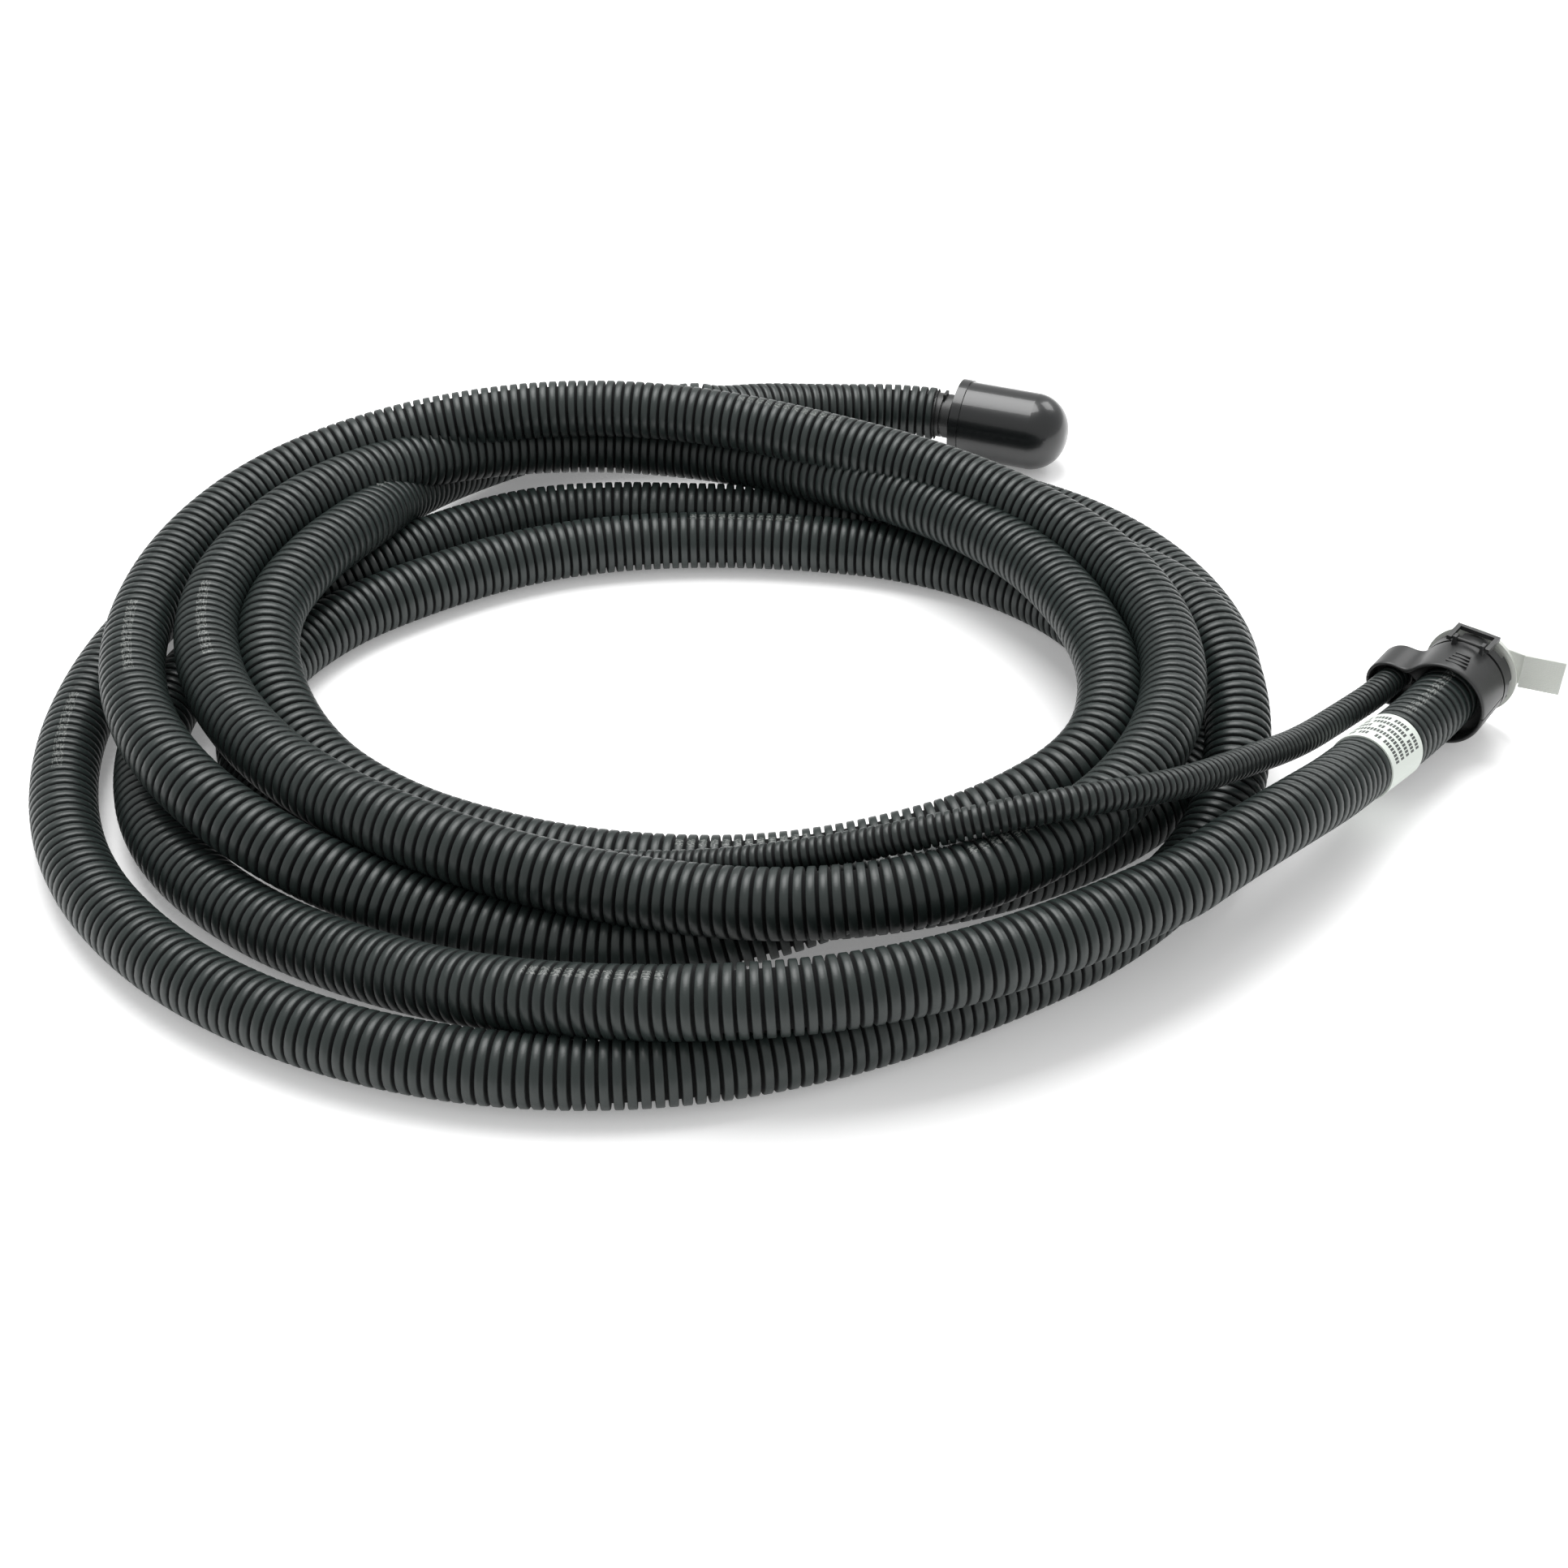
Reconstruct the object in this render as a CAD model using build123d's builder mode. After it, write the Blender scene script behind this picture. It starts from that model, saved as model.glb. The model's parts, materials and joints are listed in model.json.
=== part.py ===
from build123d import *
import math
import os

os.makedirs("parts", exist_ok=True)

# All sizes in millimetres. Z is up and the floor is z = 0.
# The coil's polar centre stands at (coil_x, coil_y), which puts the origin under the middle of the box.
coil_x = -62.29
coil_y = 6.46

# Hose sections
hose_od = 28.5
hose_id = 23.3
branch_od = 13.0
branch_id = 9.6
hose_r = hose_od / 2
branch_r = branch_od / 2

# Named clearances
slip_fit = 0.25
running_fit = 0.1
body_gap = 0.5
label_grip = 0.1
seal_squeeze = 0.15

# Coil: centre-line radius and height of every turn at twelve stations, clockwise from -30 degrees
turn_radii = [
    [261, 262, 244, 226, 245, 226, 179, 162, 144, 159, 196, 239],
    [261, 250, 257, 269, 276, 258, 248, 250, 217, 205, 241, 250],
    [226, 186, 165, 172, 197, 189, 145, 122, 115, 129, 166, 208],
    [200, 196, 193, 200, 232, 243, 232, 184, 160, 157, 178, 216],
    [235, 225, 186, 181, 196, 213, 202, 190, 172, 152, 157, 182],
    [209, 162, 142, 146, 172, 186, 178, 220, 212, 212, 190, 200],
]
turn_heights = [
    [43, 43, 38, 16, 14, 14, 14, 14, 14, 14, 24, 43],
    [20, 14, 14, 14, 14, 14, 14, 14, 14, 14, 14, 14],
    [14, 14, 14, 14, 14, 14, 14, 14, 14, 14, 14, 14],
    [16, 36, 16, 22, 43, 44, 50, 62, 62, 58, 57, 55],
    [56, 50, 39, 43, 44, 48, 52, 40, 34, 40, 45, 48],
    [44, 20, 15, 16, 26, 43, 42, 18, 38, 38, 40, 44],
]
station_first = -30
station_step = 30
coil_top = 76.0
layer_floors = [0.0, hose_od, 2 * hose_od]
layer_tops = [hose_od, 2 * hose_od, coil_top]

# Free runs of the hoses: centre points
front_points = [
    (201, -189, 43), (222, -170, 43), (241, -154, 43), (261, -136, 41),
    (279, -117, 36), (290, -103, 32), (322, -66.5, 25),
]
rear_points = [(14, 214, 36), (38, 228, 32), (62, 239, 27), (87, 245, 23.5)]
rear_lead = 24.0
branch_points = [
    (297, -55, 28), (271, -85, 36), (243, -115, 50), (208, -150, 65), (171, -171, 75), (139, -178, 73),
    (108, -178, 66), (78, -173, 55), (46, -171, 47), (19, -166, 39), (-10, -163, 35), (-38, -162, 34),
]

# Twin connector: its axis lies level, at this heading from +X
port_heading = 52.0
mouth_x = 345.5
mouth_y = -40.0
port_height = 24.0
barrel_length = 33.0
main_lobe_r = 20.3
branch_lobe_r = 11.0
lobe_spacing = 25.0
shell_wall = 1.6
mouth_depth = 8.0
clamp_end = 18.0
branch_length = 22.0
flange_lip = 0.75
flange_r = hose_r + flange_lip
flange_start = 19.5
flange_width = 2.0
spigot_bore_r = 9.0
spigot_start = 8.0
spigot_end = 31.0
branch_spigot_bore_r = 2.4
branch_flange_r = 7.5
branch_nozzle_r = 3.6
ring_depth = 1.3
branch_ring_depth = 0.65
ring_groove_r = hose_r + slip_fit + ring_depth
branch_groove_r = branch_r + slip_fit + branch_ring_depth
ring_start = 9.5
ring_width = 4.0
seal_wire = 2.0
neck_r = 16.6
collar_start = 24.5
collar_r = 20.0
collar_length = 7.0
collar_step = 2.5
collar_steps = 6
latch_width = 20.0
latch_bar = 2.0
latch_length = 13.0
latch_z = 21.5
latch_height = 21.8
ear_width = 2.0
ear_height = 6.0
ear_depth = 3.4
pin_r = 0.8
cap_r = 21.5
cap_plate = 2.0
cap_lift = 0.4
cap_plug_depth = 8.0
tab_length = 19.0
tab_width = 17.0
tab_thick = 1.6
tab_rise = 7.0

# Domed end cap on the rear end
end_heading = -21.0
end_x = 147.0
end_y = 232.0
end_height = 21.6
end_cap_r = 20.75
end_cap_wall = 2.2
end_cap_length = 62.0
dome_start = 44.0
end_rim_step = 0.8
end_rim_width = 5.0
neck_ring_r = 12.0
neck_ring_gap_r = 10.6
neck_length = 12.0
ferrule_bore_r = 7.5
ferrule_plug_r = 11.3
ferrule_depth = 10.0
ferrule_seat = 16.0
end_tab_width = 6.0
end_tab_height = 14.0
neck_ring_width = 4.0
plug_depth = 8.0
plug_head = 2.0

# Label sleeve on the front run
label_length = 28.0
label_wall = 0.6


def shifted(points):
    return [(x + coil_x, y + coil_y, z) for x, y, z in points]


def bendRadii(points):
    vectors = [Vector(*b) - Vector(*a) for a, b in zip(points, points[1:])]
    radii = []
    for first, second in zip(vectors, vectors[1:]):
        half_turn = math.radians(first.get_angle(second)) / 2
        radii.append(0.45 * min(first.length, second.length) / math.tan(half_turn))
    return radii


def stationPoint(radius, angle):
    return (coil_x + radius * math.cos(math.radians(angle)), coil_y + radius * math.sin(math.radians(angle)))


port_dir = Vector(math.cos(math.radians(port_heading)), math.sin(math.radians(port_heading)), 0)
port_left = Vector(-math.sin(math.radians(port_heading)), math.cos(math.radians(port_heading)), 0)
port_plane = Plane(origin=(mouth_x + coil_x, mouth_y + coil_y, port_height), x_dir=port_left, z_dir=port_dir)
end_dir = Vector(math.cos(math.radians(end_heading)), math.sin(math.radians(end_heading)), 0)
end_left = Vector(-math.sin(math.radians(end_heading)), math.cos(math.radians(end_heading)), 0)
end_plane = Plane(origin=(end_x + coil_x, end_y + coil_y, end_height), x_dir=end_left, z_dir=end_dir)

pin_point = port_plane.origin + port_dir * latch_z + Vector(0, 0, latch_height)
latch_plane = Plane(origin=pin_point, x_dir=port_dir, z_dir=port_left)
loop_plane = Plane(origin=pin_point, x_dir=port_left, z_dir=(0, 0, 1))
ear_x = latch_width / 2 - latch_bar - body_gap - ear_width / 2
dome_middle = ((dome_start + end_cap_length) / 2 + 3.5, 0.72 * end_cap_r)

# Each free run ends square on the piece that holds it
clamp_point = tuple(port_plane.origin + port_dir * clamp_end)
mouth_point = tuple(port_plane.origin - port_dir * 2)
front_path = shifted(front_points) + [mouth_point, clamp_point]
branch_clamp = tuple(port_plane.origin + port_dir * clamp_end + port_left * lobe_spacing)
branch_mouth = tuple(port_plane.origin - port_dir * 4 + port_left * lobe_spacing)
branch_path = [branch_clamp, branch_mouth] + shifted(branch_points)
neck_point = tuple(end_plane.origin - end_dir * neck_length)
lead_point = tuple(end_plane.origin - end_dir * (neck_length + rear_lead))
rear_path = shifted(rear_points) + [lead_point, neck_point]
front_radii = bendRadii(front_path)
branch_radii = bendRadii(branch_path)
rear_radii = bendRadii(rear_path)
print("front bends", [round(r) for r in front_radii])
print("branch bends", [round(r) for r in branch_radii])
print("rear bends", [round(r) for r in rear_radii])

# Free runs of hose
with BuildPart() as hose_front_tail:
    with BuildLine() as front_line:
        FilletPolyline(*front_path, radius=front_radii)
    with BuildSketch(Plane(origin=front_line.wire() @ 0, z_dir=front_line.wire() % 0)):
        Circle(hose_r)
        Circle(hose_id / 2, mode=Mode.SUBTRACT)
    sweep()

with BuildPart() as hose_rear_tail:
    with BuildLine() as rear_line:
        FilletPolyline(*rear_path, radius=rear_radii)
    with BuildSketch(Plane(origin=rear_line.wire() @ 0, z_dir=rear_line.wire() % 0)):
        Circle(hose_r)
        Circle(hose_id / 2, mode=Mode.SUBTRACT)
    sweep()

with BuildPart() as branch_hose:
    with BuildLine() as branch_line:
        FilletPolyline(*branch_path, radius=branch_radii)
    with BuildSketch(Plane(origin=branch_line.wire() @ 0, z_dir=branch_line.wire() % 0)):
        Circle(branch_r)
        Circle(branch_id / 2, mode=Mode.SUBTRACT)
    sweep()

front_length = front_line.wire().length
branch_length_run = branch_line.wire().length
rear_length = rear_line.wire().length
label_from, label_to = [Vector(*point) for point in shifted(front_points[-2:])]
label_dir = (label_to - label_from).normalized()
label_middle = (label_from + label_to) * 0.5
branch_end = branch_line.wire() @ 1
branch_end_dir = branch_line.wire() % 1
print("run lengths", round(front_length), round(branch_length_run), round(rear_length))
tube_area = math.pi * (hose_r**2 - (hose_id / 2) ** 2)
branch_area = math.pi * (branch_r**2 - (branch_id / 2) ** 2)
print("front volume ratio", round(hose_front_tail.part.volume / tube_area / front_length, 4))
print("rear volume ratio", round(hose_rear_tail.part.volume / tube_area / rear_length, 4))
print("branch volume ratio", round(branch_hose.part.volume / branch_area / branch_length_run, 4))

# Coil: one closed ring in three layers, with the runs' own room taken out
with BuildPart() as hose_coil:
    for layer_floor, layer_top in zip(layer_floors, layer_tops):
        outer = []
        inner = []
        for station in range(12):
            near = []
            for radii, heights in zip(turn_radii, turn_heights):
                reach = abs(heights[station] - (layer_floor + layer_top) / 2)
                if reach < hose_r:
                    near.append(radii[station])
            if not near:
                near = [turn_radii[3][station], turn_radii[4][station]]
            angle = station_first - station_step * station
            outer.append(stationPoint(max(near) + hose_r, angle))
            inner.append(stationPoint(min(near) - hose_r, angle))
        with BuildSketch(Plane.XY.offset(layer_floor)):
            with BuildLine():
                Spline(*outer, periodic=True)
            make_face()
            with BuildLine():
                Spline(*inner, periodic=True)
            make_face(mode=Mode.SUBTRACT)
        extrude(amount=layer_top - layer_floor)
    with BuildSketch(Plane(origin=front_line.wire() @ 0, z_dir=front_line.wire() % 0)):
        Circle(hose_r)
    sweep(path=front_line.wire(), mode=Mode.SUBTRACT)
    with BuildSketch(Plane(origin=rear_line.wire() @ 0, z_dir=rear_line.wire() % 0)):
        Circle(hose_r)
    sweep(path=rear_line.wire(), mode=Mode.SUBTRACT)
    with BuildSketch(Plane(origin=branch_line.wire() @ 0, z_dir=branch_line.wire() % 0)):
        Circle(branch_r)
    sweep(path=branch_line.wire(), mode=Mode.SUBTRACT)
    with BuildSketch(Plane(origin=branch_end, z_dir=branch_end_dir)):
        Circle(branch_r)
    extrude(amount=plug_head, mode=Mode.SUBTRACT)
    with BuildSketch(end_plane.offset(-neck_length)):
        Circle(hose_r + body_gap)
    extrude(amount=neck_length, mode=Mode.SUBTRACT)
    with BuildSketch(end_plane.offset(-body_gap)):
        Circle(end_cap_r + end_rim_step + body_gap)
    extrude(amount=2.5 * end_cap_length, mode=Mode.SUBTRACT)
hose_coil.part.label = "hose_coil"
print("coil solids", len(hose_coil.part.solids()), round(hose_coil.part.volume))

# Connector shells: two halves that meet on the level plane through both axes
with BuildPart() as connector_lower_shell:
    with BuildSketch(port_plane):
        Circle(main_lobe_r)
        with Locations((lobe_spacing, 0)):
            Circle(branch_lobe_r)
        with Locations((lobe_spacing / 2, 0)):
            Rectangle(lobe_spacing, 1.2 * branch_lobe_r)
    extrude(amount=branch_length)
    with BuildSketch(port_plane.offset(branch_length)):
        Circle(neck_r)
    extrude(amount=barrel_length - branch_length)
    with BuildSketch(port_plane):
        Circle(main_lobe_r - shell_wall)
        with Locations((lobe_spacing, 0)):
            Circle(branch_lobe_r - shell_wall)
    extrude(amount=mouth_depth, mode=Mode.SUBTRACT)
    with BuildSketch(port_plane.offset(mouth_depth)):
        Circle(hose_r + slip_fit)
        with Locations((lobe_spacing, 0)):
            Circle(branch_r + slip_fit)
    extrude(amount=clamp_end - mouth_depth, mode=Mode.SUBTRACT)
    with BuildSketch(port_plane.offset(ring_start)):
        Circle(ring_groove_r)
        with Locations((lobe_spacing, 0)):
            Circle(branch_groove_r)
    extrude(amount=ring_width, mode=Mode.SUBTRACT)
    with BuildSketch(port_plane.offset(clamp_end)):
        Circle(hose_id / 2 - running_fit)
        with Locations((lobe_spacing, 0)):
            Circle(branch_nozzle_r)
    extrude(amount=barrel_length - clamp_end, mode=Mode.SUBTRACT)
    with BuildSketch(port_plane.offset(flange_start)):
        Circle(flange_r)
        with Locations((lobe_spacing, 0)):
            Circle(branch_flange_r)
    extrude(amount=flange_width, mode=Mode.SUBTRACT)
    with BuildSketch(port_plane):
        with Locations((0, main_lobe_r)):
            Rectangle(4 * main_lobe_r, 2 * main_lobe_r)
    extrude(amount=barrel_length, mode=Mode.SUBTRACT)
connector_lower_shell.part.label = "connector_lower_shell"

with BuildPart() as connector_upper_shell:
    add(mirror(connector_lower_shell.part, about=Plane.XY.offset(port_height)))
    for side in (-1, 1):
        with BuildSketch(port_plane.offset(latch_z - ear_depth / 2)):
            with Locations((side * ear_x, latch_height - ear_height / 2 + latch_bar)):
                Rectangle(ear_width, ear_height)
        extrude(amount=ear_depth)
    with BuildSketch(latch_plane):
        Circle(pin_r)
    extrude(amount=latch_width, both=True, mode=Mode.SUBTRACT)
connector_upper_shell.part.label = "connector_upper_shell"

# Inside the barrels
with BuildPart() as main_spigot:
    with BuildSketch(port_plane.offset(spigot_start)):
        Circle(hose_id / 2 - running_fit)
        Circle(spigot_bore_r, mode=Mode.SUBTRACT)
    extrude(amount=spigot_end - spigot_start)
    with BuildSketch(port_plane.offset(flange_start)):
        Circle(flange_r)
        Circle(spigot_bore_r, mode=Mode.SUBTRACT)
    extrude(amount=flange_width)
    with BuildSketch(port_plane.offset(clamp_end - 2 * seal_wire)):
        Circle(hose_id / 2)
        Circle(hose_id / 2 - seal_wire + seal_squeeze, mode=Mode.SUBTRACT)
    extrude(amount=seal_wire, mode=Mode.SUBTRACT)
main_spigot.part.label = "main_spigot"

with BuildPart() as branch_spigot:
    with BuildSketch(port_plane.offset(spigot_start)):
        with Locations((lobe_spacing, 0)):
            Circle(branch_nozzle_r)
            Circle(branch_spigot_bore_r, mode=Mode.SUBTRACT)
    extrude(amount=branch_length + shell_wall - spigot_start)
    with BuildSketch(port_plane.offset(flange_start)):
        with Locations((lobe_spacing, 0)):
            Circle(branch_flange_r)
            Circle(branch_spigot_bore_r, mode=Mode.SUBTRACT)
    extrude(amount=flange_width)
branch_spigot.part.label = "branch_spigot"

with BuildPart() as main_retaining_ring:
    with BuildSketch(port_plane.offset(ring_start)):
        Circle(ring_groove_r)
        Circle(hose_r, mode=Mode.SUBTRACT)
    extrude(amount=ring_width)
main_retaining_ring.part.label = "main_retaining_ring"

with BuildPart() as branch_retaining_ring:
    with BuildSketch(port_plane.offset(ring_start)):
        with Locations((lobe_spacing, 0)):
            Circle(branch_groove_r)
            Circle(branch_r, mode=Mode.SUBTRACT)
    extrude(amount=ring_width)
branch_retaining_ring.part.label = "branch_retaining_ring"

with BuildPart() as main_o_ring:
    with BuildSketch(port_plane.offset(clamp_end - 2 * seal_wire)):
        Circle(hose_id / 2)
        Circle(hose_id / 2 - seal_wire + seal_squeeze, mode=Mode.SUBTRACT)
    extrude(amount=seal_wire)
main_o_ring.part.label = "main_o_ring"

with BuildPart() as branch_o_ring:
    with BuildSketch(port_plane.offset(clamp_end - 2 * seal_wire)):
        with Locations((lobe_spacing, 0)):
            Circle(branch_id / 2)
            Circle(branch_nozzle_r, mode=Mode.SUBTRACT)
    extrude(amount=seal_wire)
branch_o_ring.part.label = "branch_o_ring"

with BuildPart() as face_seal:
    with BuildSketch(port_plane.offset(spigot_end)):
        Circle(hose_id / 2 - running_fit)
        Circle(spigot_bore_r, mode=Mode.SUBTRACT)
    extrude(amount=barrel_length - spigot_end)
face_seal.part.label = "face_seal"

# Coupling collar with stepped rim, turning on the connector's neck
with BuildPart() as coupling_collar:
    with BuildSketch(port_plane.offset(collar_start)):
        Circle(collar_r)
        Circle(neck_r + running_fit, mode=Mode.SUBTRACT)
    extrude(amount=collar_length)
    with BuildSketch(port_plane.offset(collar_start + collar_length - collar_step)):
        with PolarLocations((neck_r + collar_r) / 2, collar_steps):
            Rectangle(6, 9)
    extrude(amount=collar_step, mode=Mode.SUBTRACT)
coupling_collar.part.label = "coupling_collar"

# Latch loop on its pin
with BuildPart() as latch_loop:
    with BuildSketch(loop_plane):
        with Locations((0, -latch_length / 2 + latch_bar)):
            Rectangle(latch_width, latch_length)
        with Locations((0, -latch_length / 2 + 2 * latch_bar)):
            Rectangle(latch_width - 2 * latch_bar, latch_length, mode=Mode.SUBTRACT)
    extrude(amount=latch_bar / 2, both=True)
    with BuildSketch(latch_plane):
        Circle(pin_r + running_fit)
    extrude(amount=latch_width, both=True, mode=Mode.SUBTRACT)
latch_loop.part.label = "latch_loop"

with BuildPart() as latch_pin:
    with BuildSketch(latch_plane):
        Circle(pin_r)
    extrude(amount=latch_width / 2, both=True)
latch_pin.part.label = "latch_pin"

# Transit cap plugged into the port, with its pull tab
with BuildPart() as transit_cap:
    with BuildSketch(port_plane.offset(barrel_length + cap_lift)):
        Circle(cap_r)
    extrude(amount=cap_plate)
    with BuildSketch(port_plane.offset(barrel_length - cap_plug_depth)):
        Circle(spigot_bore_r - slip_fit)
        Circle(spigot_bore_r - slip_fit - shell_wall, mode=Mode.SUBTRACT)
    extrude(amount=cap_plug_depth + cap_lift)
transit_cap.part.label = "transit_cap"

with BuildPart() as cap_pull_tab:
    with BuildSketch(port_plane.offset(barrel_length + cap_lift)):
        with Locations((-cap_r - body_gap - tab_length / 2, tab_rise)):
            RectangleRounded(tab_length, tab_width, 2)
    extrude(amount=tab_thick)
cap_pull_tab.part.label = "cap_pull_tab"

# Label sleeve shrunk on the front run
with BuildPart() as label_sleeve:
    with BuildSketch(Plane(origin=label_middle - label_dir * (label_length / 2), z_dir=label_dir)):
        Circle(hose_r + label_wall)
        Circle(hose_r - label_grip, mode=Mode.SUBTRACT)
    extrude(amount=label_length)
label_sleeve.part.label = "label_sleeve"

# Rear end: two-ring neck, key, seal and domed cap
with BuildPart() as end_ferrule:
    with BuildSketch(end_plane.offset(-neck_length - ferrule_depth)):
        Circle(hose_id / 2 - running_fit)
    extrude(amount=ferrule_depth)
    with BuildSketch(end_plane.offset(-neck_length)):
        Circle(neck_ring_gap_r)
    extrude(amount=neck_length)
    for ring in range(2):
        with BuildSketch(end_plane.offset(-neck_length + ring * (neck_ring_width + shell_wall))):
            Circle(neck_ring_r)
        extrude(amount=neck_ring_width)
    with BuildSketch(end_plane):
        Circle(ferrule_plug_r)
    extrude(amount=ferrule_seat)
    with BuildSketch(end_plane.offset(ferrule_seat / 2)):
        Circle(ferrule_plug_r)
        Circle(ferrule_plug_r - seal_wire, mode=Mode.SUBTRACT)
    extrude(amount=seal_wire, mode=Mode.SUBTRACT)
    with BuildSketch(end_plane.offset(-neck_length - ferrule_depth)):
        Circle(ferrule_bore_r)
    extrude(amount=ferrule_depth + neck_length + ferrule_seat, mode=Mode.SUBTRACT)
end_ferrule.part.label = "end_ferrule"

with BuildPart() as end_locking_tab:
    with BuildSketch(end_plane.offset(-neck_length + neck_ring_width)):
        with Locations((0, end_tab_height / 2)):
            Rectangle(end_tab_width, end_tab_height)
        Circle(neck_ring_gap_r, mode=Mode.SUBTRACT)
    extrude(amount=shell_wall)
end_locking_tab.part.label = "end_locking_tab"

with BuildPart() as end_cap_seal:
    with BuildSketch(end_plane.offset(ferrule_seat / 2)):
        Circle(ferrule_plug_r + slip_fit - running_fit)
        Circle(ferrule_plug_r - seal_wire, mode=Mode.SUBTRACT)
    extrude(amount=seal_wire)
end_cap_seal.part.label = "end_cap_seal"

with BuildPart() as end_cap:
    with BuildSketch(end_plane.offset(body_gap)):
        Circle(end_cap_r)
    extrude(amount=dome_start - body_gap)
    with BuildSketch(end_plane.offset(body_gap)):
        Circle(end_cap_r + end_rim_step)
    extrude(amount=end_rim_width)
    with BuildSketch(Plane(origin=end_plane.origin, x_dir=end_dir, z_dir=-end_left)):
        with BuildLine():
            Line((end_cap_length, 0), (dome_start, 0))
            Line((dome_start, 0), (dome_start, end_cap_r))
            ThreePointArc((dome_start, end_cap_r), dome_middle, (end_cap_length, 0))
        make_face()
    revolve(axis=Axis(end_plane.origin, end_dir))
    with BuildSketch(end_plane.offset(body_gap)):
        Circle(ferrule_plug_r + slip_fit)
    extrude(amount=ferrule_seat, mode=Mode.SUBTRACT)
    with BuildSketch(end_plane.offset(ferrule_seat + body_gap)):
        Circle(end_cap_r - end_cap_wall)
    extrude(amount=dome_start - ferrule_seat, mode=Mode.SUBTRACT)
end_cap.part.label = "end_cap"

with BuildPart() as branch_end_plug:
    with BuildSketch(Plane(origin=branch_end - branch_end_dir * plug_depth, z_dir=branch_end_dir)):
        Circle(branch_id / 2 - running_fit)
    extrude(amount=plug_depth)
    with BuildSketch(Plane(origin=branch_end, z_dir=branch_end_dir)):
        Circle(branch_r)
    extrude(amount=plug_head)
branch_end_plug.part.label = "branch_end_plug"

hose_front_tail.part.label = "hose_front_tail"
hose_rear_tail.part.label = "hose_rear_tail"
branch_hose.part.label = "branch_hose"

pieces = [
    hose_coil, hose_front_tail, hose_rear_tail, branch_hose, label_sleeve, connector_lower_shell,
    connector_upper_shell, main_spigot, branch_spigot, main_retaining_ring, branch_retaining_ring,
    main_o_ring, branch_o_ring, face_seal, coupling_collar, latch_loop, latch_pin, transit_cap,
    cap_pull_tab, end_ferrule, end_locking_tab, end_cap, end_cap_seal, branch_end_plug,
]
for piece in pieces:
    export_step(piece.part, "parts/" + piece.part.label + ".step")
    if len(piece.part.solids()) != 1:
        print("not one solid:", piece.part.label, len(piece.part.solids()))
box = Compound(children=[piece.part for piece in pieces]).bounding_box()
print("box", box.min, box.max, "middle", box.center())
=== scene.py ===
import bpy
import json
import math
import numpy as np
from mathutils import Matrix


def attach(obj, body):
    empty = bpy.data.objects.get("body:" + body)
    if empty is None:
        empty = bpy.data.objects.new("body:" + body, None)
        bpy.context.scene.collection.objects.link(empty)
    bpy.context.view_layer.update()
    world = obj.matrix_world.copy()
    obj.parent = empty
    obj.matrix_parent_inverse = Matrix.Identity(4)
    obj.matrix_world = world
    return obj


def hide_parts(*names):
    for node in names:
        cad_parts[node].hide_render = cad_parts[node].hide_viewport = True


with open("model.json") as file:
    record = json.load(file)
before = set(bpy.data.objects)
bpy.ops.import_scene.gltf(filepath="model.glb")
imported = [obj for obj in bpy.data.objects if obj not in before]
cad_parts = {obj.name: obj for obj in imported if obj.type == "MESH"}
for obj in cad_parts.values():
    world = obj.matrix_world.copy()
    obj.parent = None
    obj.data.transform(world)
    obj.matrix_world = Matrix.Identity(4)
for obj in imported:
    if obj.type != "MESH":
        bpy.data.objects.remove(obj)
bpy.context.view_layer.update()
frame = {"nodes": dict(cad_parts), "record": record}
nodes = frame["nodes"]

# where the coil's polar centre stands in the row frame
coilX = -0.06229
coilY = 0.00646


# camera
cameraSettings = {"at": (0.051 + coilX, -0.7918 + coilY, 0.572), "down": 38.3, "lens": 47.52}
camData = bpy.data.cameras.new("camera")
camData.lens = cameraSettings["lens"]
camData.sensor_width = 36
cam = bpy.data.objects.new("camera", camData)
cam.location = cameraSettings["at"]
cam.rotation_euler = (math.radians(90 - cameraSettings["down"]), 0, 0)
bpy.context.collection.objects.link(cam)
bpy.context.scene.camera = cam
print("camera set")


# materials
def newMaterial(name, color, rough, coat=0.0, spec=0.5):
    mat = bpy.data.materials.new(name)
    mat.use_nodes = True
    shader = mat.node_tree.nodes["Principled BSDF"]
    shader.inputs["Base Color"].default_value = (*color, 1)
    shader.inputs["Roughness"].default_value = rough
    shader.inputs["Specular IOR Level"].default_value = spec
    shader.inputs["Coat Weight"].default_value = coat
    return mat


def addMath(tree, operation, a, b=None, c=None):
    # a math node whose inputs are links or plain numbers
    node = tree.nodes.new("ShaderNodeMath")
    node.operation = operation
    for socket, value in zip(node.inputs, (a, b, c)):
        if isinstance(value, (int, float)):
            socket.default_value = value
        elif value is not None:
            tree.links.new(value, socket)
    return node.outputs[0]


def addGrain(mat, scale, strength, distance=0.0003, soft=0.6):
    # fine moulded grain: noise on Object coordinates into a bump
    tree = mat.node_tree
    shader = tree.nodes["Principled BSDF"]
    coord = tree.nodes.new("ShaderNodeTexCoord")
    noise = tree.nodes.new("ShaderNodeTexNoise")
    noise.inputs["Scale"].default_value = scale
    noise.inputs["Detail"].default_value = 4
    noise.inputs["Roughness"].default_value = soft
    bump = tree.nodes.new("ShaderNodeBump")
    bump.inputs["Strength"].default_value = strength
    bump.inputs["Distance"].default_value = distance
    tree.links.new(coord.outputs["Object"], noise.inputs["Vector"])
    tree.links.new(noise.outputs["Fac"], bump.inputs["Height"])
    tree.links.new(bump.outputs["Normal"], shader.inputs["Normal"])
    return noise


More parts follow.
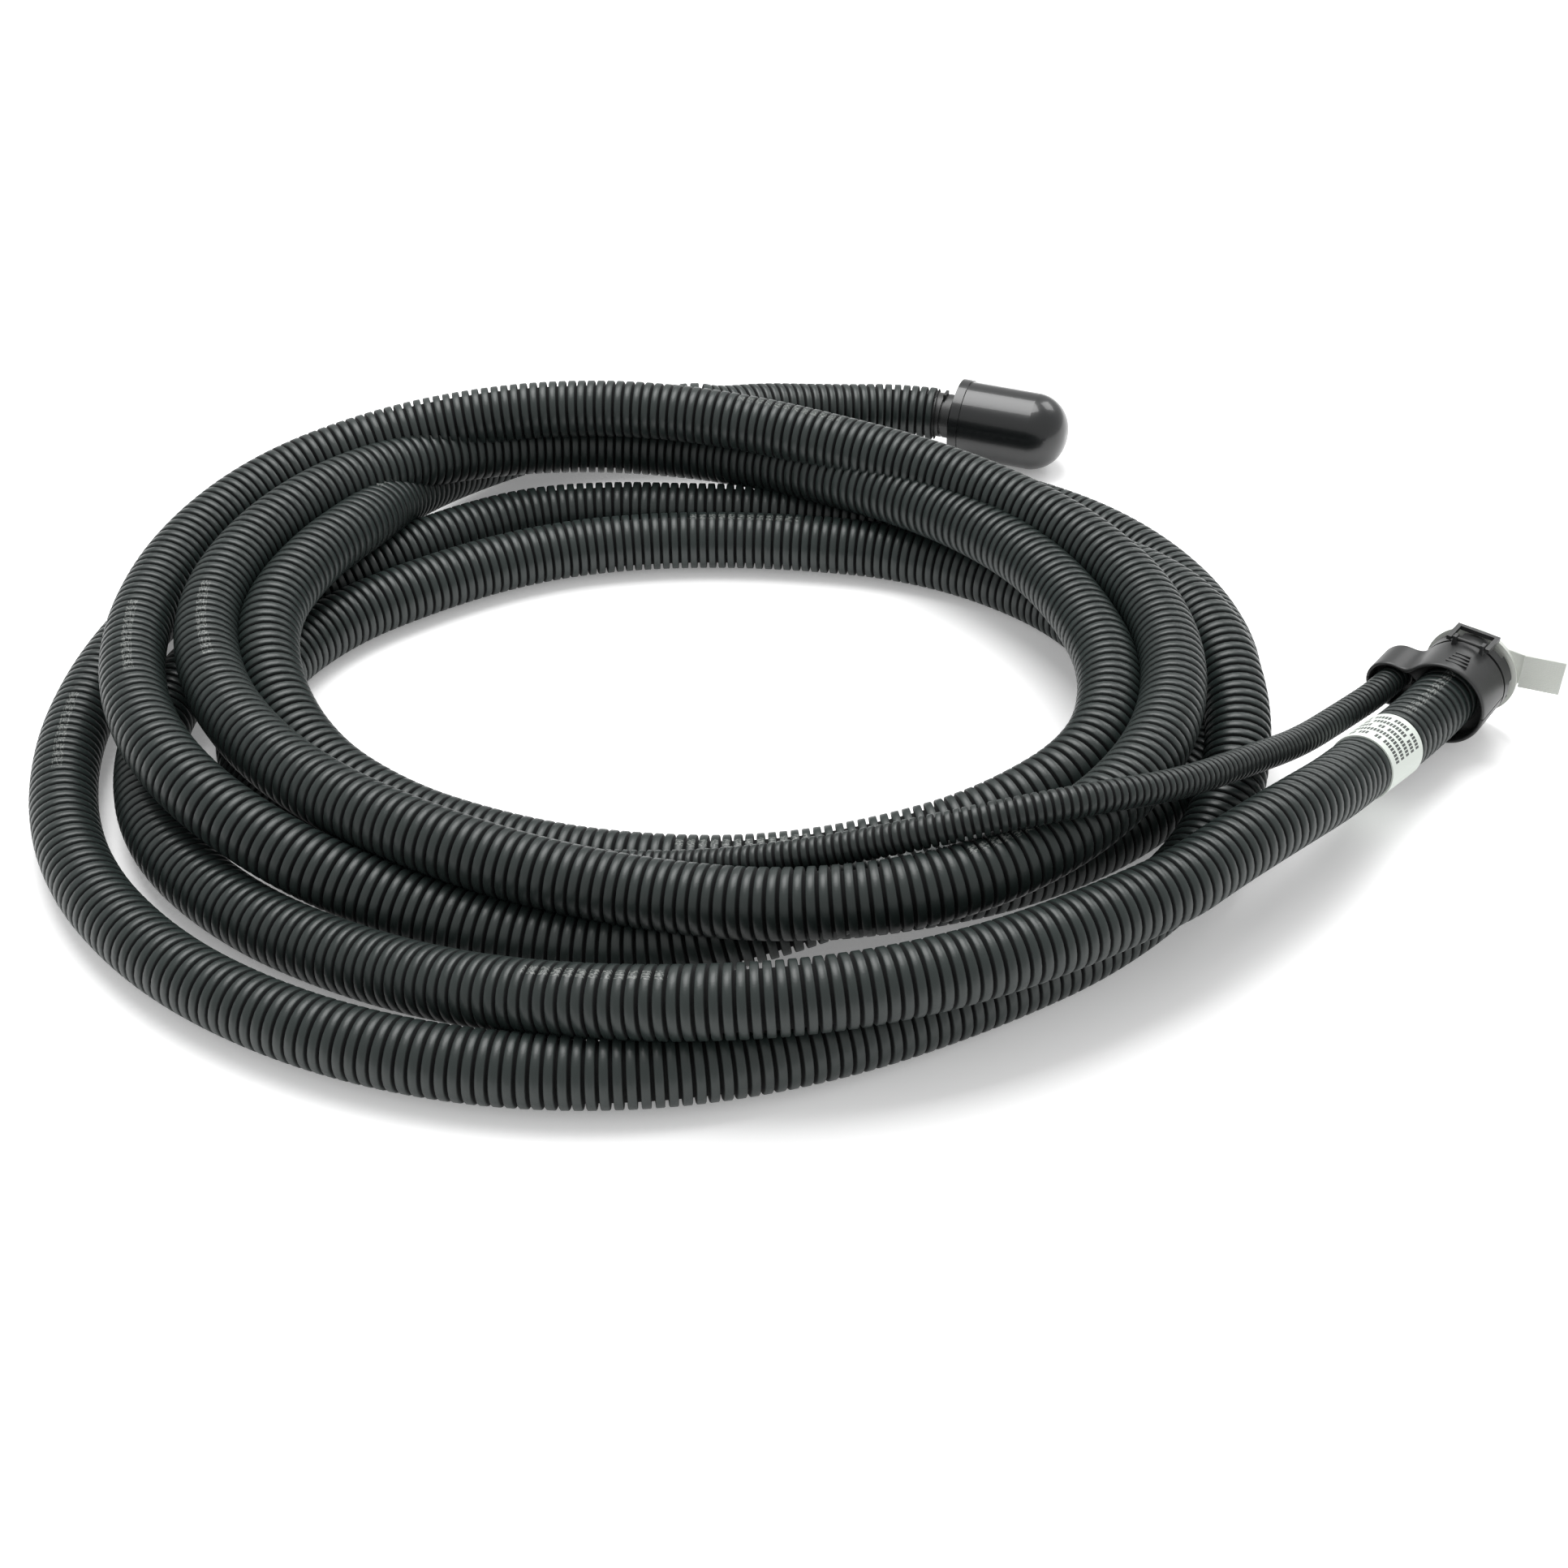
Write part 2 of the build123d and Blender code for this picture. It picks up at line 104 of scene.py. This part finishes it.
def hoseMaterial(name, crest, grooveShade, repeat, share, markWidth):
    # ridge colour from the stored depth, darkened into the grooves as painted shade, plus short faint print
    # groups along the top line
    mat = newMaterial(name, crest, 0.4)
    addGrain(mat, 900, 0.2)
    tree = mat.node_tree
    shader = tree.nodes["Principled BSDF"]
    depth = tree.nodes.new("ShaderNodeAttribute")
    depth.attribute_name = "depth"
    run = tree.nodes.new("ShaderNodeUVMap")
    run.uv_map = "run"
    split = tree.nodes.new("ShaderNodeSeparateXYZ")
    tree.links.new(run.outputs["UV"], split.inputs[0])
    blotch = tree.nodes.new("ShaderNodeTexNoise")
    blotch.inputs["Scale"].default_value = 35
    blotch.inputs["Detail"].default_value = 3
    coord = tree.nodes.new("ShaderNodeTexCoord")
    tree.links.new(coord.outputs["Object"], blotch.inputs["Vector"])
    tone = tree.nodes.new("ShaderNodeMix")
    tone.data_type = "RGBA"
    tree.links.new(blotch.outputs["Fac"], tone.inputs["Factor"])
    tone.inputs[6].default_value = (*[c * 0.82 for c in crest], 1)
    tone.inputs[7].default_value = (*[c * 1.18 for c in crest], 1)
    # painted shade: the colour runs from the crest tone to the dark groove colour as the surface sinks into a
    # groove
    shadedRidge = tree.nodes.new("ShaderNodeMix")
    shadedRidge.data_type = "RGBA"
    sunk = addMath(tree, "MINIMUM", addMath(tree, "MULTIPLY", depth.outputs["Fac"], 2.6), 1)
    tree.links.new(sunk, shadedRidge.inputs["Factor"])
    # the grooves give almost no shine
    tree.links.new(addMath(tree, "MULTIPLY_ADD", sunk, 0.55, 0.4), shader.inputs["Roughness"])
    tree.links.new(tone.outputs[2], shadedRidge.inputs[6])
    shadedRidge.inputs[7].default_value = (*grooveShade, 1)
    # print groups: inside a share of each repeat, within a narrow band, broken into dots
    place = addMath(tree, "FRACT", addMath(tree, "DIVIDE", split.outputs["X"], repeat))
    inGroup = addMath(tree, "LESS_THAN", place, share)
    inBand = addMath(tree, "LESS_THAN", addMath(tree, "ABSOLUTE", split.outputs["Y"]), markWidth)
    dots = tree.nodes.new("ShaderNodeTexNoise")
    dots.inputs["Scale"].default_value = 1
    dots.inputs["Detail"].default_value = 1
    cell = tree.nodes.new("ShaderNodeCombineXYZ")
    tree.links.new(addMath(tree, "MULTIPLY", split.outputs["X"], 700), cell.inputs[0])
    tree.links.new(addMath(tree, "MULTIPLY", split.outputs["Y"], 22), cell.inputs[1])
    tree.links.new(cell.outputs[0], dots.inputs["Vector"])
    lit = addMath(tree, "GREATER_THAN", dots.outputs["Fac"], 0.52)
    onCrest = addMath(tree, "LESS_THAN", depth.outputs["Fac"], 0.3)
    inPlace = addMath(tree, "MULTIPLY", inGroup, inBand)
    mask = addMath(tree, "MULTIPLY", inPlace, addMath(tree, "MULTIPLY", lit, onCrest))
    printed = tree.nodes.new("ShaderNodeMix")
    printed.data_type = "RGBA"
    tree.links.new(addMath(tree, "MULTIPLY", mask, 0.24), printed.inputs["Factor"])
    tree.links.new(shadedRidge.outputs[2], printed.inputs[6])
    printed.inputs[7].default_value = (0.55, 0.57, 0.54, 1)
    tree.links.new(printed.outputs[2], shader.inputs["Base Color"])
    return mat


# the third colour of each hose is painted shade laid into the grooves
mainHoseMat = hoseMaterial("hosePlastic", (0.0135, 0.0205, 0.019), (0.0012, 0.0016, 0.002), 0.43, 0.13, 0.16)
branchHoseMat = hoseMaterial("branchPlastic", (0.013, 0.0195, 0.018), (0.0012, 0.0016, 0.002), 9.0, 0.0, 0.1)
mouldMat = newMaterial("mouldedBlack", (0.022, 0.023, 0.023), 0.42)
addGrain(mouldMat, 1400, 0.12)
glossMat = newMaterial("glossBlack", (0.005, 0.006, 0.0065), 0.3, coat=0.35)
addGrain(glossMat, 120, 0.12, 0.0006)
capMat = newMaterial("clearCap", (0.62, 0.64, 0.60), 0.35)
capMat.node_tree.nodes["Principled BSDF"].inputs["Subsurface Weight"].default_value = 0.4
capMat.node_tree.nodes["Principled BSDF"].inputs["Subsurface Radius"].default_value = (0.004, 0.004, 0.004)
addGrain(capMat, 500, 0.3)
labelMat = newMaterial("labelFilm", (0.66, 0.71, 0.66), 0.5)


def labelMarks(mat, at, along, rows, pitch):
    # rows of short dark bars round the sleeve: row from the distance along it, bars from the angle
    tree = mat.node_tree
    shader = tree.nodes["Principled BSDF"]
    coord = tree.nodes.new("ShaderNodeTexCoord")

    def dotWith(vector, offset):
        node = tree.nodes.new("ShaderNodeVectorMath")
        node.operation = "DOT_PRODUCT"
        tree.links.new(coord.outputs["Object"], node.inputs[0])
        node.inputs[1].default_value = vector
        return addMath(tree, "SUBTRACT", node.outputs["Value"], offset)

    across = np.cross([0, 0, 1], along)
    across = across / np.linalg.norm(across)
    up = np.cross(along, across)
    run = dotWith(along, float(np.dot(along, at)))
    side = dotWith(across, float(np.dot(across, at)))
    high = dotWith(up, float(np.dot(up, at)))
    angle = addMath(tree, "ARCTAN2", side, high)
    shifted = addMath(tree, "ADD", run, rows * pitch / 2)
    place = addMath(tree, "DIVIDE", shifted, pitch)
    row = addMath(tree, "FLOOR", place)
    offRow = addMath(tree, "SUBTRACT", addMath(tree, "FRACT", place), 0.5)
    inside = addMath(tree, "LESS_THAN", addMath(tree, "ABSOLUTE", offRow), 0.30)
    inRows = addMath(tree, "LESS_THAN", addMath(tree, "ABSOLUTE", run), rows * pitch / 2)
    inArc = addMath(tree, "LESS_THAN", addMath(tree, "ABSOLUTE", addMath(tree, "ADD", angle, 0.15)), 0.95)
    cells = tree.nodes.new("ShaderNodeTexWhiteNoise")
    cells.noise_dimensions = "2D"
    pair = tree.nodes.new("ShaderNodeCombineXYZ")
    tree.links.new(addMath(tree, "FLOOR", addMath(tree, "MULTIPLY", angle, 10)), pair.inputs[0])
    tree.links.new(row, pair.inputs[1])
    tree.links.new(pair.outputs[0], cells.inputs["Vector"])
    bar = addMath(tree, "LESS_THAN", cells.outputs["Value"], 0.84)
    gap = addMath(tree, "LESS_THAN", addMath(tree, "FRACT", addMath(tree, "MULTIPLY", angle, 10)), 0.74)
    printArea = addMath(tree, "MULTIPLY", addMath(tree, "MULTIPLY", inside, inRows), inArc)
    mark = addMath(tree, "MULTIPLY", printArea, addMath(tree, "MULTIPLY", bar, gap))
    mix = tree.nodes.new("ShaderNodeMix")
    mix.data_type = "RGBA"
    tree.links.new(addMath(tree, "MULTIPLY", mark, 0.95), mix.inputs["Factor"])
    mix.inputs[6].default_value = (0.66, 0.71, 0.66, 1)
    mix.inputs[7].default_value = (0.025, 0.03, 0.03, 1)
    tree.links.new(mix.outputs[2], shader.inputs["Base Color"])


sealMat = newMaterial("sealRubber", (0.015, 0.015, 0.015), 0.7)


# hose routes
stationFirst = -30
stationStep = 30
turnRadii = [
    [261, 262, 245, 231, 246, 226, 179, 162, 144, 159, 196, 246],
    [265, 250, 257, 270, 281, 266, 249, 250, 217, 208, 248, 262],
    [229, 186, 165, 172, 197, 189, 145, 122, 115, 129, 171, 213],
    [200, 196, 193, 200, 232, 244, 235, 187, 161, 157, 178, 216],
    [235, 225, 186, 181, 196, 213, 202, 190, 172, 153, 162, 186],
    [209, 162, 142, 146, 172, 186, 178, 220, 212],
]
turnHeights = [
    [43, 43, 38, 16, 14, 14, 14, 14, 14, 14, 24, 43],
    [20, 14, 14, 14, 14, 14, 14, 14, 14, 14, 14, 14],
    [14, 14, 14, 14, 14, 14, 14, 14, 14, 14, 14, 14],
    [16, 36, 16, 22, 43, 44, 50, 62, 62, 58, 57, 55],
    [56, 50, 39, 43, 44, 48, 52, 40, 34, 40, 45, 48],
    [44, 20, 15, 16, 26, 43, 42, 18, 38],
]
frontPoints = [
    (0.201, -0.189, 0.043), (0.222, -0.170, 0.043), (0.241, -0.154, 0.043), (0.261, -0.136, 0.041),
    (0.279, -0.117, 0.036), (0.290, -0.103, 0.032), (0.322, -0.0665, 0.025),
]
rearPoints = [(0.014, 0.214, 0.034), (0.038, 0.226, 0.030), (0.062, 0.234, 0.0255), (0.087, 0.239, 0.0225)]
branchPoints = [
    (0.297, -0.055, 0.028), (0.271, -0.085, 0.036), (0.243, -0.115, 0.050), (0.208, -0.150, 0.065),
    (0.171, -0.171, 0.075), (0.139, -0.178, 0.073), (0.108, -0.180, 0.066), (0.078, -0.1765, 0.055),
    (0.046, -0.1745, 0.047), (0.019, -0.169, 0.039), (-0.010, -0.165, 0.035), (-0.038, -0.162, 0.034),
]
portHeading = math.radians(52)
portDir = np.array([math.cos(portHeading), math.sin(portHeading), 0])
portLeft = np.array([-math.sin(portHeading), math.cos(portHeading), 0])
mouth = np.array([0.3455 + coilX, -0.040 + coilY, 0.024])
endHeading = math.radians(-21)
endDir = np.array([math.cos(endHeading), math.sin(endHeading), 0])
endLeft = np.array([-math.sin(endHeading), math.cos(endHeading), 0])
endAt = np.array([0.147 + coilX, 0.232 + coilY, 0.0216])
hoseR = 0.01425
branchR = 0.0065


def moved(points):
    return [np.array([x + coilX, y + coilY, z]) for x, y, z in points]


def coilPoints():
    # radius and height at each station, with one cubic point between neighbours, wound clockwise
    radii = np.concatenate([np.array(t, float) for t in turnRadii])[1:]
    heights = np.maximum(np.concatenate([np.array(t, float) for t in turnHeights])[1:], 14.25)

    def between(values):
        padded = np.concatenate([[2 * values[0] - values[1]], values, [2 * values[-1] - values[-2]]])
        middle = (9 * (padded[1:-2] + padded[2:-1]) - padded[:-3] - padded[3:]) / 16
        out = np.empty(2 * len(values) - 1)
        out[0::2] = values
        out[1::2] = middle
        return out

    radii = between(radii) * 1.006 / 1000
    heights = np.maximum(between(heights), 14.25) / 1000
    turns = np.radians(stationFirst - stationStep - stationStep / 2 * np.arange(len(radii)))
    stations = zip(radii, turns, heights)
    return [np.array([coilX + r * math.cos(a), coilY + r * math.sin(a), z]) for r, a, z in stations]


def splineRoute(points, name):
    # the even line of an order-3 spline through the points' hull, read back as points
    curve = bpy.data.curves.new(name, "CURVE")
    curve.dimensions = "3D"
    curve.resolution_u = 10
    spline = curve.splines.new("NURBS")
    spline.points.add(len(points) - 1)
    spline.points.foreach_set("co", np.hstack([np.array(points), np.ones((len(points), 1))]).ravel())
    spline.order_u = 3
    spline.use_endpoint_u = True
    holder = bpy.data.objects.new(name, curve)
    bpy.context.collection.objects.link(holder)
    mesh = bpy.data.meshes.new_from_object(holder)
    line = np.empty(len(mesh.vertices) * 3)
    mesh.vertices.foreach_get("co", line)
    bpy.data.objects.remove(holder)
    bpy.data.meshes.remove(mesh)
    line = line.reshape(-1, 3)
    step = np.linalg.norm(np.diff(line, axis=0), axis=1)
    return line[np.concatenate([[True], step > 1e-7])]


def measured(line):
    return np.concatenate([[0], np.cumsum(np.linalg.norm(np.diff(line, axis=0), axis=1))])


def atLength(line, s):
    # points and unit directions at lengths s along the line
    at = measured(line)
    where = np.stack([np.interp(s, at, line[:, k]) for k in range(3)], axis=1)
    ahead = np.stack([np.interp(s + 0.002, at, line[:, k]) for k in range(3)], axis=1)
    behind = np.stack([np.interp(s - 0.002, at, line[:, k]) for k in range(3)], axis=1)
    dirs = ahead - behind
    return where, dirs / np.linalg.norm(dirs, axis=1)[:, None]


def gridFaces(rows, cols):
    # quads of a grid that closes round its second direction
    i, j = np.meshgrid(np.arange(rows - 1), np.arange(cols), indexing="ij")
    a = i * cols + j
    b = i * cols + (j + 1) % cols
    return np.stack([a, b, b + cols, a + cols], axis=-1).reshape(-1, 4)


def buildMesh(name, verts, faces, mat, smooth=True):
    mesh = bpy.data.meshes.new(name)
    mesh.vertices.add(len(verts))
    mesh.vertices.foreach_set("co", np.asarray(verts, float).ravel())
    faces = np.asarray(faces)
    count, corners = faces.shape
    mesh.loops.add(count * corners)
    mesh.loops.foreach_set("vertex_index", faces.ravel())
    mesh.polygons.add(count)
    mesh.polygons.foreach_set("loop_start", np.arange(count) * corners)
    mesh.polygons.foreach_set("use_smooth", np.full(count, smooth))
    mesh.update(calc_edges=True)
    mesh.materials.append(mat)
    obj = bpy.data.objects.new(name, mesh)
    bpy.context.collection.objects.link(obj)
    return obj


def corrugated(name, line, start, end, radius, look, mat):
    # rings along the line: radius less a depth that repeats every pitch; flat crest, narrow groove
    pitch = (end - start) / max(1, round((end - start) / look["pitch"]))
    count = int(round((end - start) / pitch))
    places = np.array(look["places"])
    depths = np.array(look["depths"])
    s = (start + pitch * (np.arange(count)[:, None] + places[None, :])).ravel()
    d = np.tile(depths, count)
    s = np.append(s, end)
    d = np.append(d, depths[0])
    where, dirs = atLength(line, s)
    side = np.cross([0, 0, 1], dirs)
    side /= np.linalg.norm(side, axis=1)[:, None]
    up = np.cross(dirs, side)
    angle = np.linspace(0, 2 * math.pi, look["segments"], endpoint=False)
    r = (radius - d)[:, None, None]
    cosine = np.cos(angle)[None, :, None]
    sine = np.sin(angle)[None, :, None]
    ring = where[:, None, :] + r * (up[:, None, :] * cosine - side[:, None, :] * sine)
    rows, cols = ring.shape[:2]
    obj = buildMesh(name, ring.reshape(-1, 3), gridFaces(rows, cols)[:, ::-1], mat)
    mesh = obj.data
    depth = mesh.attributes.new("depth", "FLOAT", "POINT")
    depth.data.foreach_set("value", np.repeat(d / depths.max(), cols))
    uv = mesh.uv_layers.new(name="run")
    index = np.empty(len(mesh.loops), int)
    mesh.loops.foreach_get("vertex_index", index)
    turn = np.where(angle > math.pi, angle - 2 * math.pi, angle)
    uv.data.foreach_set("uv", np.stack([s[index // cols], turn[index % cols]], axis=1).ravel())
    return obj


# main hose
hoseLook = {
    "pitch": 0.00485, "segments": 28,
    "places": [0.0, 0.07, 0.63, 0.70, 0.73, 0.97],
    "depths": [0.00035, 0.0, 0.0, 0.00035, 0.0027, 0.0027],
    "pieces": 3,
}
hoseEnds = [mouth + portDir * 0.018, mouth - portDir * 0.002]
neckStart = endAt - endDir * 0.012
leadPoint = endAt - endDir * 0.034 - endLeft * 0.003
mainControls = hoseEnds + moved(frontPoints[::-1]) + coilPoints() + moved(rearPoints) + [leadPoint, neckStart]
mainLine = splineRoute(mainControls, "mainRoute")
mainLength = measured(mainLine)[-1]
print("main hose length", round(mainLength, 3))
cuts = hoseLook["pitch"] * np.round(np.linspace(0, mainLength, hoseLook["pieces"] + 1) / hoseLook["pitch"])
cuts[-1] = mainLength
for number in range(hoseLook["pieces"]):
    name = ["hoseFront", "hoseMiddle", "hoseRear"][number]
    piece = corrugated(name, mainLine, cuts[number], cuts[number + 1], hoseR, hoseLook, mainHoseMat)
    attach(piece, "hose_set")
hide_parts("hose_coil", "hose_front_tail")
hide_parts("hose_rear_tail")
print("main hose built")

# branch hose
branchLook = {
    "pitch": 0.0034, "segments": 20,
    "places": [0.0, 0.06, 0.13, 0.52, 0.60, 0.66, 0.70, 0.96],
    "depths": [0.0003, 0.0001, 0.0, 0.0, 0.0001, 0.0003, 0.0016, 0.0016],
}
branchStart = mouth + portDir * 0.018 + portLeft * 0.025
branchOut = mouth - portDir * 0.004 + portLeft * 0.025
branchLine = splineRoute([branchStart, branchOut] + moved(branchPoints), "branchRoute")
branchLength = measured(branchLine)[-1]
print("branch hose length", round(branchLength, 3))
branch = corrugated("branchHose", branchLine, 0, branchLength, branchR, branchLook, branchHoseMat)
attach(branch, "hose_set")
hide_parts("branch_hose")
print("branch hose built")


# connector housing
housingLook = {
    "mainR": 0.0203, "branchR": 0.011, "gap": 0.025, "heart": 0.0135, "blend": 0.0065, "steps": 90,
}


def unionRadius(angles, mainR, sideR, sideAt, blend, heart):
    # distance from the heart point to where the two barrels' smooth union ends, by halving
    low = np.zeros(angles.shape)
    high = np.full(angles.shape, 0.06)
    for _ in range(34):
        middle = (low + high) / 2
        x = heart + middle * np.cos(angles)
        y = middle * np.sin(angles)
        toMain = np.hypot(x, y) - mainR
        toSide = np.hypot(x - sideAt, y) - sideR
        h = np.clip(0.5 + 0.5 * (toSide - toMain) / blend, 0, 1)
        inside = toSide * (1 - h) + toMain * h - blend * h * (1 - h) < 0
        low = np.where(inside, middle, low)
        high = np.where(inside, high, middle)
    return low


def smoothStep(x):
    x = np.clip(x, 0, 1)
    return x * x * (3 - 2 * x)


def portPoint(x, y, z):
    # from the port's own left, up and along to the row frame
    return mouth + x[..., None] * portLeft + y[..., None] * np.array([0, 0, 1.0]) + z[..., None] * portDir


def housingHalf(name, upper):
    # closed wall profile (along, inset in mm) carried round half the outline, so each half is a closed shell
    look = housingLook
    profile = np.array([
        (0.0, 0.9), (0.15, 0.35), (0.6, 0.08), (1.3, 0), (3, 0), (5, 0), (7, 0),
        *[(k, 0) for k in range(8, 23)],
        (22.6, 0), (23.3, 0.15), (23.6, 0.6),
        (23.6, 3.7), (28, 3.7), (32.4, 3.7), (33, 4.3), (33, 8), (28, 8), (22, 8), (16, 8), (10, 6.5), (9, 5),
        (9, 2.0), (6, 1.7), (1.2, 1.6), (0.3, 1.45),
    ]) / 1000
    along = profile[:, 0]
    inset = profile[:, 1]
    start = 0.004 if upper else math.pi + 0.004
    angles = np.linspace(start, start + math.pi - 0.008, look["steps"])
    shrink = smoothStep((along - 0.0175) / 0.0061)
    sideR = (look["branchR"] * (1 - 0.55 * shrink))[None, :]
    sideAt = (look["gap"] - 0.007 * shrink)[None, :]
    heart = look["heart"] * (1 - shrink * 0.3)
    lean = (look["mainR"] - 0.0003 * smoothStep(along / 0.02))[None, :]
    sideR = np.where(along > 0.0228, 0.004, sideR[0])[None, :]
    sideAt = np.where(along > 0.0228, 0.010, sideAt[0])[None, :]
    heart = np.where(along > 0.0228, 0.003, heart)
    turns = np.repeat(angles[:, None], len(along), 1)
    reach = unionRadius(turns, lean - inset, sideR - inset, sideAt, look["blend"], heart[None, :])
    x = heart[None, :] + reach * np.cos(angles)[:, None]
    y = reach * np.sin(angles)[:, None]
    points = portPoint(x, y, np.repeat(along[None, :], len(angles), 0))
    rows, cols = points.shape[:2]
    grid = gridFaces(rows, cols)
    first = list(range(cols))
    last = [(rows - 1) * cols + k for k in range(cols)]
    mesh = bpy.data.meshes.new(name)
    mesh.from_pydata(points.reshape(-1, 3).tolist(), [], grid.tolist() + [first[::-1], last])
    mesh.polygons.foreach_set("use_smooth", np.append(np.ones(len(grid), bool), [False, False]))
    mesh.update(calc_edges=True)
    mesh.materials.append(mouldMat)
    obj = bpy.data.objects.new(name, mesh)
    bpy.context.collection.objects.link(obj)
    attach(obj, "hose_set")
    return obj


upperHousing = housingHalf("upperHousing", True)
lowerHousing = housingHalf("lowerHousing", False)
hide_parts("connector_upper_shell")
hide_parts("connector_lower_shell")


def portBox(name, low, high, mat, body, bevel=0.0004):
    # a block between two corners in the port's own left, up and along, with a small bevel
    corners = np.array([[a, b, c] for a in (low[0], high[0]) for b in (low[1], high[1])
                        for c in (low[2], high[2])])
    verts = portPoint(corners[:, 0], corners[:, 1], corners[:, 2])
    faces = np.array([[0, 1, 3, 2], [4, 6, 7, 5], [0, 4, 5, 1], [2, 3, 7, 6], [0, 2, 6, 4], [1, 5, 7, 3]])
    obj = buildMesh(name, verts, faces, mat, smooth=False)
    edge = obj.modifiers.new("edge", "BEVEL")
    edge.width = bevel
    edge.segments = 2
    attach(obj, body)
    return obj


# raised generic ribs on the big barrel, and the ears that hold the latch pin
for number, z in enumerate((0.0045, 0.0072, 0.0099, 0.0126)):
    low = (-0.0065 + 0.0006 * number, 0.0185, z)
    high = (0.0035 - 0.0004 * number, 0.02055, z + 0.0009)
    portBox("rib" + "ABCD"[number], low, high, mouldMat, "hose_set", 0.0002)
for number, x in enumerate((-0.0065, 0.0065)):
    low = (x - 0.001, 0.0165, 0.0198)
    high = (x + 0.001, 0.0234, 0.0232)
    portBox("latchEar" + "AB"[number], low, high, mouldMat, "hose_set")


tabLook = {
    "start": -0.0223, "end": -0.0405, "low": 0.0003, "high": 0.0173, "near": 0.0337, "thick": 0.0012,
    "rise": 0.0035, "relief": 0.0001, "cols": 46, "rows": 42,
}


def pullTab(name):
    # thin plate with a fine woven relief: height is a small product of two sines across the face
    look = tabLook
    u = np.linspace(0, 1, look["cols"])
    v = np.linspace(0, 1, look["rows"])
    uu, vv = np.meshgrid(u, v, indexing="ij")
    x = look["start"] + (look["end"] - look["start"]) * uu
    y = look["low"] + (look["high"] - look["low"]) * vv + look["rise"] * uu
    edge = np.minimum(np.minimum(uu, 1 - uu), np.minimum(vv, 1 - vv)) > 0.03
    relief = look["relief"] * np.sin(uu * 2 * math.pi * 15) * np.sin(vv * 2 * math.pi * 14) * edge
    front = portPoint(x, y, look["near"] - relief)
    back = portPoint(x, y, look["near"] + look["thick"] + relief)
    rows, cols = x.shape
    i, j = np.meshgrid(np.arange(rows - 1), np.arange(cols - 1), indexing="ij")
    a = (i * cols + j).ravel()
    quads = np.stack([a, a + cols, a + cols + 1, a + 1], 1)
    off = rows * cols
    rim = [j for j in range(cols)] + [i * cols + cols - 1 for i in range(1, rows)]
    rim += [(rows - 1) * cols + j for j in range(cols - 2, -1, -1)]
    rim += [i * cols for i in range(rows - 2, 0, -1)]
    wall = np.array([[p, q, q + off, p + off] for p, q in zip(rim, rim[1:] + rim[:1])])
    faces = np.concatenate([quads, quads[:, ::-1] + off, wall])
    verts = np.concatenate([front.reshape(-1, 3), back.reshape(-1, 3)])
    obj = buildMesh(name, verts, faces, capMat, smooth=False)
    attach(obj, "tab")
    return obj


tab = pullTab("pullTab")
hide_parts("cap_pull_tab")
portBox("tabRoot", (-0.0219, 0.001, 0.0352), (-0.013, 0.0165, 0.0362), capMat, "cap", 0.0003)
print("connector built")


# finishes on the CAD pieces
labelEnds = moved(frontPoints[-2:])
labelAlong = (labelEnds[1] - labelEnds[0]) / np.linalg.norm(labelEnds[1] - labelEnds[0])
labelMarks(labelMat, (labelEnds[0] + labelEnds[1]) / 2, labelAlong, 5, 0.0046)
finishes = {
    "connector_plastic": mouldMat, "end_cap_plastic": glossMat, "cap_plastic": capMat,
    "label_film": labelMat, "seal_rubber": sealMat, "hose_plastic": mainHoseMat,
}
slots = {entry["node"]: entry["material_slot"] for entry in frame["record"]["subparts"]}
for name, node in nodes.items():
    for place in range(len(node.material_slots)):
        node.material_slots[place].link = "OBJECT"
        node.material_slots[place].material = finishes[slots[name]]
print("finishes set")


# floor and light
floorMat = newMaterial("floorWhite", (0.93, 0.93, 0.93), 0.8)
floorMat.node_tree.nodes["Principled BSDF"].inputs["Emission Color"].default_value = (1, 1, 1, 1)
floorMat.node_tree.nodes["Principled BSDF"].inputs["Emission Strength"].default_value = 0.22
bpy.ops.mesh.primitive_plane_add(size=8, location=(0, 0, 0))
floor = bpy.context.object
floor.name = "floor"
floor.data.materials.append(floorMat)


def areaLight(name, at, aim, size, power):
    data = bpy.data.lights.new(name, "AREA")
    data.energy = power
    data.size = size
    light = bpy.data.objects.new(name, data)
    light.location = at
    toward = np.array(aim, float) - np.array(at, float)
    flat = math.hypot(toward[0], toward[1])
    tilt = math.atan2(flat, -toward[2])
    light.rotation_euler = (tilt, 0, math.atan2(toward[1], toward[0]) - math.pi / 2)
    bpy.context.collection.objects.link(light)
    return light


areaLight("keyLight", (-0.2, 0.55, 1.5), (0, 0, 0), 1.2, 29)
areaLight("rimLight", (0.9, 0.9, 1.0), (0, 0, 0), 0.6, 5)
world = bpy.data.worlds.new("world")
world.use_nodes = True
world.node_tree.nodes["Background"].inputs["Color"].default_value = (1, 1, 1, 1)
world.node_tree.nodes["Background"].inputs["Strength"].default_value = 0.68
bpy.context.scene.world = world
bpy.context.scene.view_settings.view_transform = "Standard"
print("light set")
